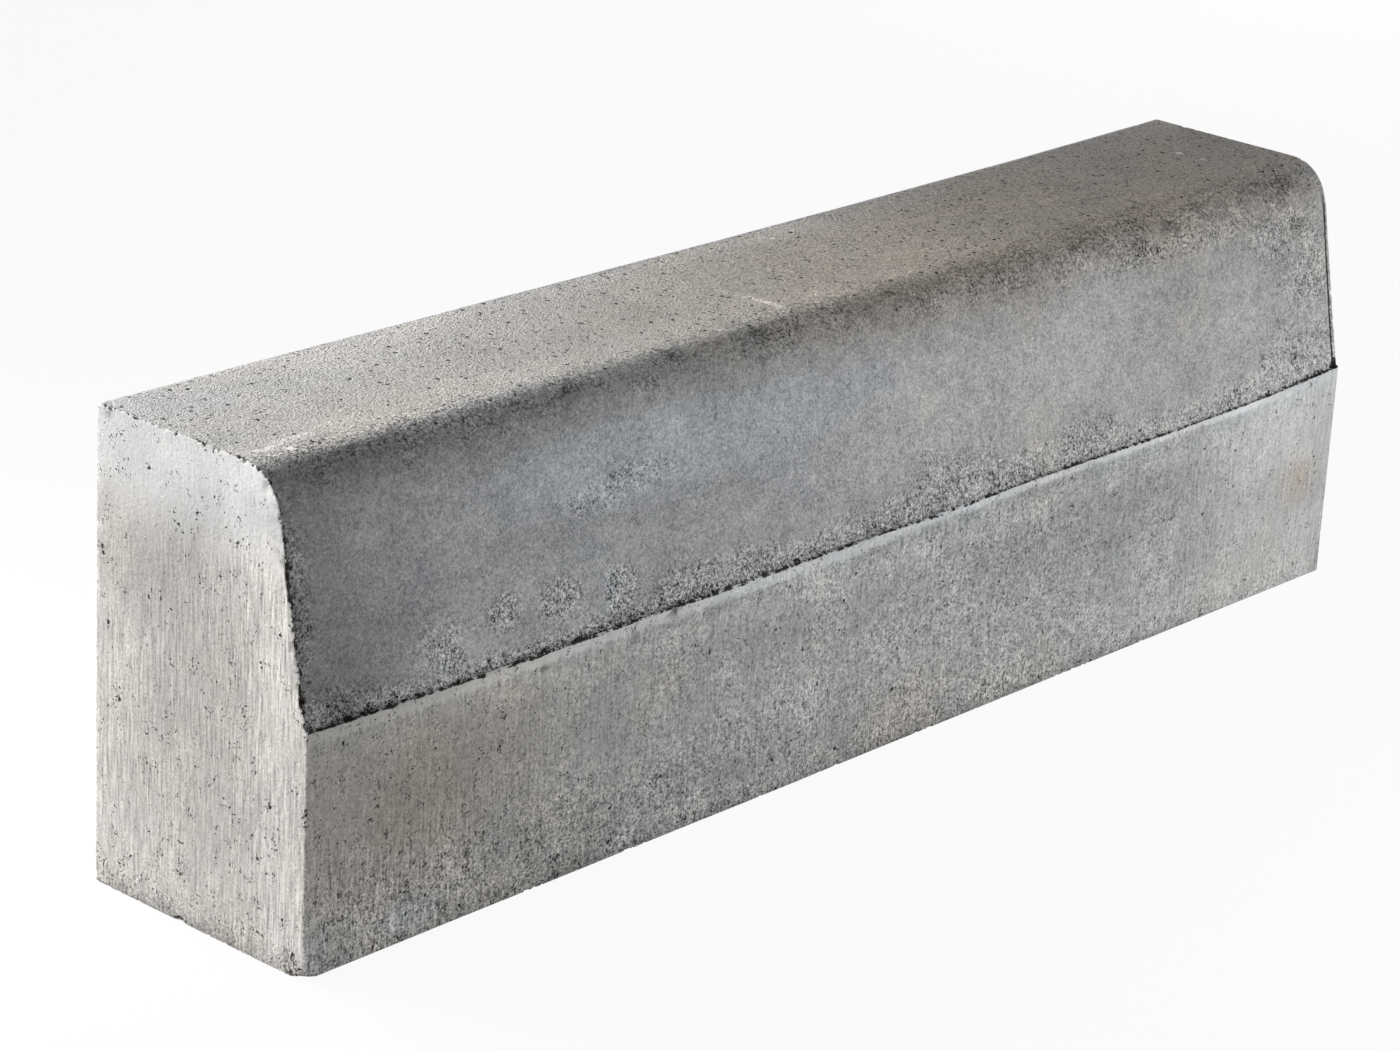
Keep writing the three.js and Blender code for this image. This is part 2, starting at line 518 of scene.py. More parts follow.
press_balls((on_end > 0.99) * clusters * clear_of_base, 10, 0.7, 1.1, 0.5)
press_balls(walls * clusters * clear_of_base, 110, 0.9, 1.7, 0.5)
press_balls(faces_up * (0.3 + clusters), 110, 0.9, 1.9, 0.6)
press_balls(torn * (side_climb > 3 * MM) * (on_end < 0.5), 900, 0.8, 2.4, 0.5)
press_balls(on_rim * above_ledge * (0.3 + clusters), 200, 0.8, 1.9, 0.45)
press_balls(front_rim, 90, 0.9, 2.0, 0.45)
press_balls(top_rim, 20, 1.2, 2.6, 0.75)
press_balls(on_rim * ~above_ledge * (0.2 + clusters), 36, 0.7, 1.4, 0.45)
press_balls(low_edge * clusters ** 2, 80, 0.8, 2.6, 0.5)
press_balls(back_rim * clusters, 40, 0.8, 1.8, 0.6)
press_balls(in_open_clusters * pressed_by_head * (on_end < 0.5), 70, 0.9, 1.9, 0.7)
press_balls(by_batter_foot * np.clip(seam_thickness - 0.5, 0.1, 3), 120, 0.8, 1.9, 0.8)

# Larger knocks, as (point, way out of the stone, radius, sink in radii), all in millimetres.
KNOCKS = [
    ((-500, 15, 2), (-0.8, 0, -0.6), 7, 0.3),
    ((-500, -87, 157), (-0.7, -0.7, 0.1), 2.4, 0.5),
    ((-198, -90, 152), (0, -1, 0), 2.2, 0.7),
    ((-313, -90, 142), (0, -1, 0), 2.4, 0.4),
]
for point, way_out, radius, sink in KNOCKS:
    press_ball(np.array(point) * MM, np.array(way_out), radius * MM, sink)

# How deep each point has sunk beyond the broad unevenness, in millimetres.
sunk = np.clip(((full_skin - moved) * outward).sum(axis=1) / MM - BROAD_DEPTH / MM, 0, 4)

# The foot of one corner is broken off flat. The break runs through a point on each of the corner's
# three edges, so far from it along the stone, across it and up.
BROKEN_OFF = np.array([11, 12, 11]) * MM
across_break = 1 / BROKEN_OFF
beyond = 1 - (moved - (-HALF_LENGTH, ROAD, 0)) @ across_break
beyond += 0.07 * waviness(skin, 3, 81)
beyond = np.clip(beyond, 0, None) * (x_mm < -HALF_LENGTH / MM / 2)
moved += (beyond / (across_break @ across_break))[:, None] * across_break

# The stone sags a little between its ends, most at the top. Its ledge drops a little away from the -X
# end and lifts in the last stretch before the +X end.
SAG = 2.2 * MM
LEDGE_DROP = 1.6 * MM
LEDGE_RISE = 4.5 * MM
RISE_START = 385
RISE_LENGTH = 115
share_along = moved[:, 0] / HALF_LENGTH
sag = SAG * (1 - share_along ** 2) * (1 + 0.7 * share_along)
rise = LEDGE_RISE * np.clip((x_mm - RISE_START) / RISE_LENGTH, 0, 1) ** 1.6
rise -= LEDGE_DROP * ramp(x_mm, -540, -440)
above_base = np.clip(moved[:, 2] / TOP, 0, 1)
from_ledge = (moved[:, 2] - LEDGE_HEIGHT) / (30 * MM)
moved[:, 2] -= sag * above_base ** 2
moved[:, 2] += rise * np.exp(-from_ledge ** 2)

# Nothing passes the mould's walls.
STONE_LOW = (-HALF_LENGTH, ROAD, 0)
STONE_HIGH = (HALF_LENGTH, BACK, TOP)
moved = np.clip(moved, STONE_LOW, STONE_HIGH)

# ------------------------------
# How pale and how warm the concrete is from place to place. Drier, denser cement paste is paler, and
# the sand shows warmer where the paste is thin.
# ------------------------------


def blend(first, second, share):
    """The first value where share is 0 and the second where it is 1, and their mix between."""
    return first * (1 - share) + second * share


def shades(flat, ovals, areas=()):
    """Each oval and each area of a table, times its strength, which comes first in its row. The rest of
    an oval's row is what blot takes. An area is the product of ramps: its row goes on with the start
    and end of one upward, then of any number across."""
    for strength, *oval in ovals:
        yield strength * blot(flat, *oval)
    for strength, start, end, *across in areas:
        borders = [ramp(flat[0], *pair) for pair in zip(across[::2], across[1::2])]
        yield strength * ramp(flat[1], start, end) * math.prod(borders)


def shaded(level, flat, ovals, areas=()):
    """The level times 1 + shade for each shade of a table."""
    return level * math.prod(1 + shade for shade in shades(flat, ovals, areas))


# Each face's paleness, and how it changes over the face, in millimetres on its flat map. The crown's tone
# holds painted shade: it is darker than the batter and the top because its lower half is turned from the
# light above and its rough skin shades itself.
LOWER_TONE = 0.465
END_TONE = 0.4925
BATTER_TONE = 0.43
CROWN_SHADED_TONE = 0.285
TOP_TONE = 0.505

lower_change = 0.28 * ramp(x_mm, 330, 420) + sum(shades(
    WALL,
    [
        (-0.08, -385, 88, 80, 48), (0.1, -430, 30, 90, 60), (0.08, -120, 60, 260, 40),
        (0.17, -160, 142, 260, 22), (-0.06, 190, 108, 150, 50), (0.07, 410, 125, 90, 40),
        (-0.14, 450, 76, 70, 26), (0.08, 230, 22, 190, 30), (0.12, -330, 138, 190, 15),
        (-0.16, 40, 142, 150, 7), (0.1, 140, 132, 330, 11), (0.1, -400, 16, 80, 18),
        (-0.34, -205, 143, 130, 6), (-0.12, 230, 106, 190, 40), (0.14, 20, 135, 60, 7),
        (0.1, -418, 15, 24, 11), (0.12, 340, 16, 60, 14), (-0.14, 425, 40, 32, 14),
        (-0.16, 150, 147, 110, 4), (-0.08, 425, 120, 34, 14), (-0.2, 494, 12, 16, 16),
    ],
    [
        (-0.13, 20, 60, -330, -460), (0.1, 24, 8, 40, -80), (0.12, 14, 5, -420, -460),
        (-0.26, 9, 3, 380, 250, -400, -280),
    ],
))
lower_pale = LOWER_TONE * (1 + lower_change * (y_mm < 0))

end_pale = shaded(
    END_TONE * (1 + 0.08 * ramp(y_mm, -42, -56)),
    END,
    [
        (0.17, -38, 288, 44, 34), (0.18, -50, 240, 34, 95), (-0.15, 30, 222, 78, 34, -50),
        (-0.1, 0, 165, 60, 90), (0.12, 2, 288, 48, 16), (0.15, 10, 250, 150, 22),
        (0.14, -45, 150, 28, 52), (-0.12, 72, 222, 44, 42), (-0.2, -48, 272, 24, 18),
        (0.05, -30, 45, 36, 20), (-0.07, -82, 105, 24, 70), (-0.08, -78, 4, 24, 16),
    ],
    [
        (0.24, 260, 215, -48, -72), (0.08, 205, 165, 50, 72),
        (0.16, 245, 275), (0.07, 100, 40), (0.03, 34, 22),
    ],
)
end_pale *= 1 - 0.17 * ramp(z_mm + 4 * raggedness(skin, 14, 51), 14, 5)

batter_change = -0.2 * ramp(x_mm, -425, -470) - 0.1 * ramp(x_mm, -380, -430) + sum(shades(
    HEAD,
    [
        (0.13, -210, 98, 200, 36), (0.1, 40, 60, 260, 55), (-0.1, 380, 100, 130, 40),
        (-0.12, -450, 26, 46, 44), (0.09, -300, 26, 100, 44), (0.08, -245, 100, 110, 40),
        (0.14, 445, 121, 46, 9), (0.07, -450, 104, 36, 24), (0.06, -390, 18, 60, 24),
        (-0.06, 350, 46, 70, 20),
    ],
    [(0.08, 34, 6, -460, -420), (0.14, 44, 8, 260, 440), (-0.07, 46, 20, -420, -300)],
))
batter_pale = BATTER_TONE * (1 + batter_change)
# Painted shade on the crown: its band is painted darker than the faces beside it, and darker still towards
# the -X end.
crown_shaded_pale = shaded(
    CROWN_SHADED_TONE * (1 - 0.2 * ramp(x_mm, -320, -420) + 0.02 * ramp(x_mm, 330, 460)),
    HEAD,
    [
        (0.07, 190, 142, 120, 16), (-0.24, 442, 149, 50, 14), (0.2, 497, 148, 12, 26),
        (-0.14, -460, 150, 60, 9), (0.16, -492, 133, 26, 9), (0.16, 480, 128, 34, 14),
        (-0.14, -450, 143, 50, 9), (-0.12, 462, 138, 26, 8),
    ],
)
top_pale = shaded(
    TOP_TONE * (1 - 0.07 * ramp(x_mm, -400, -480) - 0.243 * ramp(x_mm, 60, 300)),
    HEAD,
    [
        (0.08, -220, 275, 260, 60), (0.05, -300, 182, 260, 34), (-0.07, -50, 160, 50, 9),
        (-0.07, -402, 272, 50, 36), (-0.1, 400, 156, 60, 8), (0.1, 492, 282, 16, 20),
    ],
    [
        (0.06, 205, 180, 60, -80), (0.08, 258, 282, -400, -330, 160, 60), (0.13, 244, 282, 380, 460),
        (-0.07, 168, 158, -330, -240), (-0.07, 174, 162, 60, 140, 490, 460),
        (0.06, 260, 276, -180, -60, 340, 240),
    ],
)
band_wave = 4 * raggedness(skin, 40, 52)
on_crown = ramp(climb_mm + band_wave, 104 - 4 * far_half, 150 - 4 * far_half)
on_crown *= ramp(climb_mm, 163, 150)
on_top = ramp(climb_mm, 151.5, 164.5)


def on_head(batter, crown, top):
    """Passes from the batter's value to the crown's and on to the top's."""
    return blend(blend(batter, crown, on_crown), top, on_top)


by_head = pressed_by_head * 1.0
pale = blend(lower_pale, on_head(batter_pale, crown_shaded_pale, top_pale), by_head)

# Paler and darker marks, as (change, x, climb, half length, half height), in millimetres. The pale
# ones are scuffs and smears of dried paste, and the dark ones are places where the skin lies open.
MARKS = [
    (0.45, -482, 174, 18, 3.0), (0.45, -455, 178, 17, 3.2), (0.14, -420, 183, 18, 4.0),
    (0.5, -53, 192, 3.2, 18), (0.6, -52, 172, 3.4, 10), (0.25, -58, 214, 2.8, 10),
    (0.2, -12, 176, 6, 5), (0.16, 62, 168, 20, 5), (0.22, 440, 205, 4, 4),
    (0.7, -234, -144, 7, 5), (0.6, -226, -138, 6, 5), (0.7, -170, -135, 5, 4.5),
    (0.5, -152, -144, 4, 3.5), (0.5, -25, -149, 6, 3.5), (-0.5, -312, -10, 4, 3.5),
    (-0.7, -199, -3, 3.5, 3.5), (-0.07, -128, 57, 34, 10), (-0.05, -205, 54, 26, 8),
    (0.1, -150, -60, 22, 16), (0.15, 470, -144, 12, 4), (-0.18, -255, 150, 14, 8),
    (-0.16, -165, 152, 9, 8), (-0.16, -92, 149, 12, 9), (0.08, -232, 84, 46, 11),
    (-0.1, 322, 140, 12, 6), (-0.12, 415, 122, 12, 6), (-0.14, 466, 114, 14, 7),
    (-0.16, 455, 88, 12, 7), (-0.18, 430, 48, 10, 4), (-0.08, 267, 60, 8, 12),
    (-0.1, 467, -82, 14, 12), (-0.06, -175, -115, 30, 10), (-0.14, -96, 15, 6, 12),
    (-0.12, -492, 70, 10, 26), (-0.1, -488, 20, 14, 14),
]
mark_noise = raggedness(skin, 9, 53)
for strength, *mark in MARKS:
    pale *= 1 + strength * ragged_blot(*mark, 0.3 * mark_noise, 0.4)

# Warmth, from the blue grey of bare paste below 0 to the brown of sand and dust above 1.
warm_top = np.interp(
    x_mm, [-500, -400, -300, -100, 0, 200, 350, 500], [0.1, 0.6, 0.8, 1.2, 1.4, 1.8, 1.7, 1.4]
)
warm_top += sum(shades(
    HEAD,
    [(-0.35, -280, 235, 170, 55), (0.3, 10, 178, 150, 34), (0.2, 150, 180, 90, 40)],
    [(-0.6, 235, 290, -300, -100), (0.4, 262, 226, -240, -380)],
))
warm_crown = np.interp(x_mm, [-500, -400, -250, -60, 60, 450, 500], [-0.5, -0.1, 0.1, 0.9, 1.1, 1.1, 0.2])
warm_batter = -0.35 + 0.35 * ramp(x_mm, -150, 150) + 0.35 * ramp(x_mm, -405, -450)
warm_batter -= 0.5 * blot(HEAD, -130, 100, 310, 36)
warm_head = on_head(warm_batter, warm_crown, warm_top) + 0.8 * blot(HEAD, 170, 154, 340, 14)
warm_lower = 0.8 - 0.85 * ramp(x_mm, -430, -150) - 0.3 * ramp(z_mm, 136, 146)
warm_lower += ramp(z_mm, 60, 15) * np.interp(x_mm, [-500, -300, 0, 300], [-0.5, 0, 0.5, 0.3])
warm_lower += sum(shades(WALL, [(0.6, -410, 90, 60, 50), (0.5, 460, 80, 46, 30), (-1.2, -418, 15, 30, 14)]))
warm_end = 0.8 - 0.7 * ramp(z_mm, 230, 275)
warm = blend(blend(warm_lower, warm_head, by_head), warm_end, on_end)
warm += (0.25 * raggedness(skin, 30, 61) + 0.3 * waviness(skin, 75, 64)) * (1 - 0.6 * on_end)

# How strongly the sand shows as specks, how strongly the mould has rubbed upright marks into the
# skin, and how far the skin lies open between its grains.
lower_grain = np.interp(x_mm, [-500, -250, 0, 150, 300, 420, 500], [0.12, 0.21, 0.28, 0.29, 0.21, 0.12, 0.08])
lower_grain += sum(shades(WALL, [], [(0.07, 75, 45, -150, -300), (0.08, 20, 8, -380, -250)]))
lower_grain += np.interp(x_mm, [-150, 0, 500], [0.1, 0.03, 0.02]) * ramp(z_mm, 75, 35)
end_grain = 0.092 + sum(shades(END, [], [(-0.05, 225, 262), (0.02, 60, 25), (0.09, 24, 12)]))
top_grain = np.interp(x_mm, [-500, -300, -100, 100, 500], [0.17, 0.14, 0.18, 0.23, 0.22])
top_grain += ramp(climb_mm, 176, 164) * np.interp(x_mm, [-500, -380, -260, 300], [0.26, 0.28, 0.16, 0.08])
torn_grain = np.interp(x_mm, [-500, -150, 50, 500], [0.42, 0.4, 0.29, 0.26])
batter_grain = 0.2 + torn_grain * torn + 0.05 * crown_band
grain = blend(lower_grain, blend(batter_grain, top_grain, on_top), by_head)

patchy = 0.5 + 0.5 * raggedness(skin, 34, 62)
rub_lower = 0.45 + 0.5 * ramp(x_mm, -300, -380) * ramp(z_mm, 100, 60) + 0.25 * patchy
rub_lower *= 1 - 0.4 * ramp(x_mm, -400, -450) * ramp(z_mm, 60, 90)
rub_end = (0.25 + 0.75 * ramp(z_mm, 262, 215)) * (0.45 + 0.8 * patchy)
rub_end *= 1 - 0.5 * blot(END, 80, 250, 90, 90)
rub = blend(rub_lower, rub_end, on_end) * (1 - by_head * (1 - on_end))

near_rim = ramp(HALF_LENGTH / MM - np.abs(x_mm), 12, 2) * ramp(climb_mm, 150, 130)
near_rim *= ramp(raggedness(skin, 12, 63), -0.5, 0.3) * (x_mm < 0)
by_seam = ramp(climb_mm, 8, 2) * (0.5 + 0.5 * edge_noise)
open_head = 0.5 * torn + 0.12 * crown_band + 0.55 * near_rim + 0.3 * by_seam
open_head += 0.1 * ramp(climb_mm, 150, 168) + 0.2 * ramp(climb_mm, 178, 164) * on_top
open_head += 0.5 * in_open_clusters
open_wall = 0.1 + 0.1 * ramp(x_mm, -250, -400)
open_wall += sum(shades(WALL, [], [(0.16, 70, 30, 60, -120), (0.15, 16, 6)]))
open_skin = blend(open_wall, open_head, by_head)
open_end = 0.11 + 0.8 * blot(END, -79, 11, 9, 12)
open_end += sum(shades(END, [], [(-0.05, 190, 250), (0.06, 70, 30), (0.2, 20, 8)]))

# At the +X end the seam's painted shadow widens into a dark hollow, up to so many millimetres thick: painted
# shade of a hollow there.
HOLLOW_THICKNESS = 7
hollow_shade = blot(HEAD, 500, 3, 14, 8) * (climb_mm > -1)

# How much paler the lip below the ledge is, along the stone: paste that the head squeezes out over the lower
# front, painted paler in part for the light its top catches from above.
lip_paste_and_light = np.interp(x_mm, [-500, -430, -200, -60, 80, 200, 500], [0.24, 0.38, 0.46, 0.4, 0.26, 0.16, 0.12])

mesh = bpy.data.meshes.new("kerb_concrete")
mesh.vertices.add(len(moved))
mesh.vertices.foreach_set("co", moved.astype(np.float32).ravel())
mesh.loops.add(faces.size)
mesh.loops.foreach_set("vertex_index", faces.astype(np.int32).ravel())
mesh.polygons.add(len(faces))
mesh.polygons.foreach_set("loop_start", np.arange(0, faces.size, 4, dtype=np.int32))
for name, values in {
    "climb": climb_mm,
    "by_head": by_head,
    "torn": torn,
    "sunk": sunk,
    "seam": np.maximum(seam_thickness, HOLLOW_THICKNESS * hollow_shade),
    "above_seam": climb_mm - seam_height,
    "lip_paste_and_light": lip_paste_and_light,
    "pale": pale,
    "pale_end": end_pale,
    "warm": warm,
    "grain": grain,
    "grain_end": end_grain,
    "rub": rub,
    "open": open_skin,
    "open_end": open_end,
}.items():
    layer = mesh.attributes.new(name, "FLOAT", "POINT")
    layer.data.foreach_set("value", values.astype(np.float32))
mesh.update(calc_edges=True)

scene = bpy.context.scene
kerb = bpy.data.objects.new("kerb_concrete", mesh)
scene.collection.objects.link(kerb)

# The flat parts need few faces, and the broken ones keep theirs.
TRIANGLES = 190000
thin = kerb.modifiers.new("fewer faces where it is flat", "DECIMATE")
thin.ratio = min(1, TRIANGLES / (2 * len(faces)))
settled = kerb.evaluated_get(bpy.context.evaluated_depsgraph_get())
cast = bpy.data.meshes.new_from_object(settled)
kerb.modifiers.clear()
kerb.data = cast
bpy.data.meshes.remove(mesh)
cast.name = "kerb_concrete"
cast_points = np.empty(3 * len(cast.vertices), dtype=np.float32)
cast.vertices.foreach_get("co", cast_points)
cast_points = np.clip(cast_points.reshape(-1, 3), STONE_LOW, STONE_HIGH)
cast.vertices.foreach_set("co", cast_points.astype(np.float32).ravel())
cast.polygons.foreach_set("use_smooth", np.ones(len(cast.polygons), dtype=bool))
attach(kerb, "root")
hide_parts("kerb_stone")

# ------------------------------
# The concrete: grey cement paste over sand, matt. The mould's walls rub upright marks into the faces
# that slide along them, and the pressing head leaves an open, sandy skin.
# ------------------------------

MM_PER_METRE = 1000.0


def add(tree, kind, sockets=None, **settings):
    """Adds a node. sockets gives each named or numbered input a plain value or the output feeding it."""
    made = tree.nodes.new("ShaderNode" + kind)
    for name, value in settings.items():
        setattr(made, name, value)
    for socket, source in (sockets or {}).items():
        if isinstance(source, bpy.types.NodeSocket):
            tree.links.new(source, made.inputs[socket])
        else:
            made.inputs[socket].default_value = source
    return made


def calc(tree, operation, *terms):
    """The result of a Math node."""
    return add(tree, "Math", dict(enumerate(terms)), operation=operation).outputs[0]


def fade(value, start, end):
    """0 before start, 1 after end, and a smooth change between, made in the value's own node tree."""
    sockets = {"Value": value, "From Min": start, "From Max": end}
    return add(value.id_data, "MapRange", sockets, interpolation_type="SMOOTHSTEP").outputs[0]


def effect(name, numbers, outputs):
    """A new node group, with its input and output nodes. It takes the place on the stone as a Vector,
    and numbers maps its other inputs to their values."""
    group = bpy.data.node_groups.new(name, "ShaderNodeTree")
    group.interface.new_socket(name="Vector", in_out="INPUT", socket_type="NodeSocketVector")
    for label, value in numbers.items():
        socket = group.interface.new_socket(name=label, in_out="INPUT", socket_type="NodeSocketFloat")
        socket.default_value = value
    for label in outputs:
        group.interface.new_socket(name=label, in_out="OUTPUT", socket_type="NodeSocketFloat")
    return group, group.nodes.new("NodeGroupInput").outputs, group.nodes.new("NodeGroupOutput").inputs


def swing(tree, vector, scale, detail, roughness, gain):
    """Noise from about -1 to 1: what a Noise Texture gives, less a half, times gain."""
    sockets = {"Vector": vector, "Scale": scale, "Detail": detail, "Roughness": roughness}
    noise = add(tree, "TexNoise", sockets).outputs[0]
    sockets = {"Value": noise, "From Min": 0.5 - 1 / gain, "From Max": 0.5 + 1 / gain, "To Min": -1.0}
    return add(tree, "MapRange", sockets).outputs[0]


# Grains of sand: specks of one size, from -1 for a dark hollow to 1 for a pale grain.
sand_grain, given, result = effect("sand grain", {"Size in mm": 2.0}, ["Speck"])
per_size = calc(sand_grain, "DIVIDE", MM_PER_METRE, given["Size in mm"])
sand_grain.links.new(swing(sand_grain, given["Vector"], per_size, 1.0, 0.6, 4.2), result["Speck"])

# Marks rubbed in by the mould's walls: noise drawn out upward, from -1 to 1.
drag_marks, given, result = effect("drag marks", {"Width in mm": 1.2, "Length in mm": 20.0}, ["Mark"])
per_width = calc(drag_marks, "DIVIDE", MM_PER_METRE, given["Width in mm"])
per_length = calc(drag_marks, "DIVIDE", MM_PER_METRE, given["Length in mm"])
stretch = add(drag_marks, "CombineXYZ", {0: per_width, 1: per_width, 2: per_length}).outputs[0]
drawn = add(drag_marks, "VectorMath", {0: given["Vector"], 1: stretch}, operation="MULTIPLY").outputs[0]
drag_marks.links.new(swing(drag_marks, drawn, 1.0, 1.5, 0.6, 3.9), result["Mark"])

# Pinholes left by air: a round spot of its own size in each cell of a Voronoi pattern, and the rim
# around it. Chance is a value of its own for each cell, so that a place can keep a share of them. A
# spot's own radius runs from SMALLEST_SHARE of the given one to SIZE_RANGE of it more. A spot is full
# up to FLAT_SHARE of its own radius, and its rim ends at RING_SHARE of it.
SMALLEST_SHARE = 0.5
SIZE_RANGE = 0.8
FLAT_SHARE = 0.78
RING_SHARE = 1.75
pinholes, given, result = effect(
    "pinholes", {"Spacing in mm": 8.0, "Radius in mm": 1.0}, ["Hole", "Ring", "Chance"]
)
per_spacing = calc(pinholes, "DIVIDE", MM_PER_METRE, given["Spacing in mm"])
cells = add(pinholes, "TexVoronoi", {"Vector": given["Vector"], "Scale": per_spacing})
chances = add(pinholes, "SeparateColor", {0: cells.outputs["Color"]})
hole_share = calc(pinholes, "DIVIDE", given["Radius in mm"], given["Spacing in mm"])
hole_edge = calc(pinholes, "MULTIPLY_ADD", chances.outputs[1], SIZE_RANGE, SMALLEST_SHARE)
hole_edge = calc(pinholes, "MULTIPLY", hole_edge, hole_share)
hole_floor = calc(pinholes, "MULTIPLY", hole_edge, FLAT_SHARE)
hole = fade(cells.outputs["Distance"], hole_edge, hole_floor)
ring_edge = calc(pinholes, "MULTIPLY", hole_edge, RING_SHARE)
ring = calc(pinholes, "SUBTRACT", fade(cells.outputs["Distance"], ring_edge, hole_edge), hole)
pinholes.links.new(hole, result["Hole"])
pinholes.links.new(ring, result["Ring"])
pinholes.links.new(chances.outputs[0], result["Chance"])

# Broken grains: flat-sided flecks of one size, each from -1 to 1.
flecks, given, result = effect("broken grains", {"Size in mm": 2.4}, ["Fleck"])
per_size = calc(flecks, "DIVIDE", MM_PER_METRE, given["Size in mm"])
cells = add(flecks, "TexVoronoi", {"Vector": given["Vector"], "Scale": per_size})
tone = add(flecks, "SeparateColor", {0: cells.outputs["Color"]}).outputs[0]
flecks.links.new(calc(flecks, "MULTIPLY_ADD", tone, 2.0, -1.0), result["Fleck"])

concrete = bpy.data.materials.new("concrete")
concrete.use_nodes = True
mix = concrete.node_tree
on_stone = add(mix, "TexCoord").outputs["Object"]


def carried(name):
    """A value that the stone's own mesh carries."""
    return add(mix, "Attribute", attribute_name=name).outputs["Fac"]


def use(group, at=on_stone, **numbers):
    """Places an effect on the stone and gives its outputs. A number's name is its input's first word."""
    made = add(mix, "Group", node_tree=group)
    mix.links.new(at, made.inputs["Vector"])
    for socket in made.inputs:
        word = socket.name.split()[0].lower()
        if isinstance(numbers.get(word), bpy.types.NodeSocket):
            mix.links.new(numbers[word], socket)
        elif word in numbers:
            socket.default_value = numbers[word]
    return made.outputs


def total(*terms):
    """The sum of products: each term is a tuple whose members are multiplied."""
    whole = None
    for factors in terms:
        product = factors[0]
        for factor in factors[1:]:
            product = calc(mix, "MULTIPLY", product, factor)
        whole = product if whole is None else calc(mix, "ADD", whole, product)
    return whole


def inverse(value):
    """1 less the value."""
    return calc(mix, "SUBTRACT", 1.0, value)


def either(name):
    """What the mesh carries for the end faces on those, and what it carries for its sides elsewhere."""
    return total((carried(name + "_end"), end_here), (carried(name), side_here))


fine, specks, gaps, coarse, clots, bunches, patches = (
    use(sand_grain, size=size)[0] for size in (1.35, 1.7, 1.9, 2.6, 5.4, 9.0, 11.5)
)
grains = use(flecks, size=2.0)[0]
clouds = swing(mix, on_stone, 22.0, 3.0, 0.55, 4.0)
wide_clouds = swing(mix, on_stone, 16.0, 2.0, 0.55, 4.2)
streaks = use(drag_marks, width=2.0, length=22.0)[0]
broad_streaks = use(drag_marks, width=3.6, length=50.0)[0]
dashes = fade(use(drag_marks, width=1.6, length=7.0)[0], 0.55, 0.8)

# The spots' edges are ragged: their pattern is shifted to and fro by up to so much.
WOBBLE = 0.9 * MM
wobble = add(mix, "CombineXYZ", {0: fine, 1: gaps, 2: coarse}).outputs[0]
wobble = add(mix, "VectorMath", {0: wobble, "Scale": WOBBLE}, operation="SCALE").outputs[0]
wobbled = add(mix, "VectorMath", {0: on_stone, 1: wobble}, operation="ADD").outputs[0]

# The end faces begin at a ragged line close to the stone's ends.
along_here = total((add(mix, "SeparateXYZ", {0: on_stone}).outputs[0], MM_PER_METRE))
from_middle = total((calc(mix, "ABSOLUTE", along_here),), (fine, 0.25), (coarse, 0.25))
end_here = fade(from_middle, 499.0, 499.4)
side_here = inverse(end_here)
climb_here = carried("climb")
head_here = total((carried("by_head"), side_here))
walls_here = inverse(head_here)
front_here = total((walls_here, side_here, fade(climb_here, -30.0, -20.0), fade(climb_here, 12.0, 6.0)))
grain_here = either("grain")
open_here = either("open")
pale_here = either("pale")
rub_here = carried("rub")

# The torn skin has edges that break up into single grains.
torn_here = fade(total((carried("torn"),), (coarse, 0.16), (clots, 0.22)), 0.3, 0.75)
torn_here = total((torn_here, side_here))
top_here = total((fade(climb_here, 148.0, 166.0), head_here))
spot_radius = calc(mix, "MULTIPLY_ADD", top_here, 0.15, 1.25)
spots, spot_rings, spot_chance = use(pinholes, at=wobbled, spacing=5.0, radius=spot_radius)

# The seam: a ragged black line from the lip up, thick and thin by turns, with breaks where it is thin. The
# black is painted shadow in the groove behind the lip, with some dirt.
seam_here = carried("seam")
above_seam = carried("above_seam")
teeth = total((fine, 0.9), (coarse, 1.3), (clots, 1.2), (patches, 0.6))
seam_top = total((seam_here, 0.9), (-0.9,), (calc(mix, "MULTIPLY_ADD", seam_here, 0.75, 0.75), teeth))
above_lip = fade(total((above_seam,), (fine, 0.3), (coarse, 0.4), (clots, 0.5)), -1.4, -1.0)
below_batter = fade(calc(mix, "SUBTRACT", above_seam, seam_top), 0.2, -0.2)
seam = total((above_lip, below_batter, side_here))
# Painted shade in dents: the deeper the skin has sunk, the darker it is painted further on.
hollow = fade(total((carried("sunk"),), (fine, 0.25)), 0.45, 1.5)

# Painted shade along the rims. A dark line runs down the +X rim: partly a mark that the head's edge leaves,
# partly painted shade of the rim turned from the lamps. It ends in a painted-dark hollow at the ledge. Along
# the -X rim crumbs are gone from the batter, and chips from the top, and the spots where they are gone are
# painted dark as the shade in them.
rim_line = total((along_here,), (coarse, 0.3), (fine, 0.25), (climb_here, -0.012))
rim_line = total((fade(rim_line, 493.4, 494.2), fade(rim_line, 496.4, 495.6), fade(climb_here, 145.0, 115.0)))
rim_hollow = total((fade(total((along_here,), (coarse, 0.5)), 493.5, 494.5), fade(climb_here, 7.5, 5.0)))
past_batter = fade(climb_here, 120.0, 165.0)
crumbs = total((along_here, -1.0), (clots, 2.2), (coarse, 1.4), (patches, 1.6), (past_batter, -1.8))
crumbs = fade(crumbs, 498.2, 498.9)
chips = total((along_here, -1.0), (clots, 1.6), (patches, 2.2), (coarse, 0.8))
chips = total((fade(chips, 499.6, 500.2), fade(climb_here, 160.0, 168.0)))
rim_shade = calc(mix, "MAXIMUM", calc(mix, "MAXIMUM", rim_line, rim_hollow), calc(mix, "MAXIMUM", crumbs, chips))
rim_shade = total((rim_shade, head_here))

